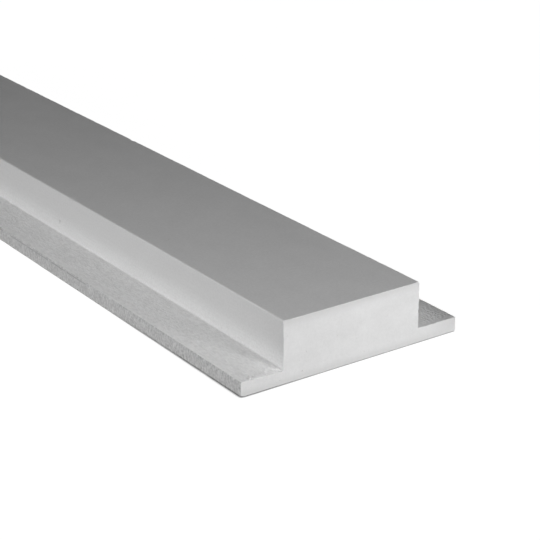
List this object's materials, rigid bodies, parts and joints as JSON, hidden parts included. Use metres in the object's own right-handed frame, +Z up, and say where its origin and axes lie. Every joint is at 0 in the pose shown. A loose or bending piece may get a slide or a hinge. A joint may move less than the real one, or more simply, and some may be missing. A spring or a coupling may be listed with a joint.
{
  "type": "moulding",
  "caption": "Straight T-section moulding of white cellular PVC: a wide flat face raised between thin side flanges, over which the edges of panels lie.",
  "frame": {"origin": "middle of the flat back, halfway along the strip, on the floor", "axes": "+X across the width, +Y along the length, +Z up through the thickness, out of the finished face"},
  "size_m": [0.1016, 2.4384, 0.0254],
  "materials": {
    "cellular_pvc": "white foamed PVC: smooth matt skin on the face and the back, fine milled cells on the rabbets and edges, sawn ends"
  },
  "bodies": {
    "root": {"moulding": "cellular_pvc"}
  },
  "joints": []
}
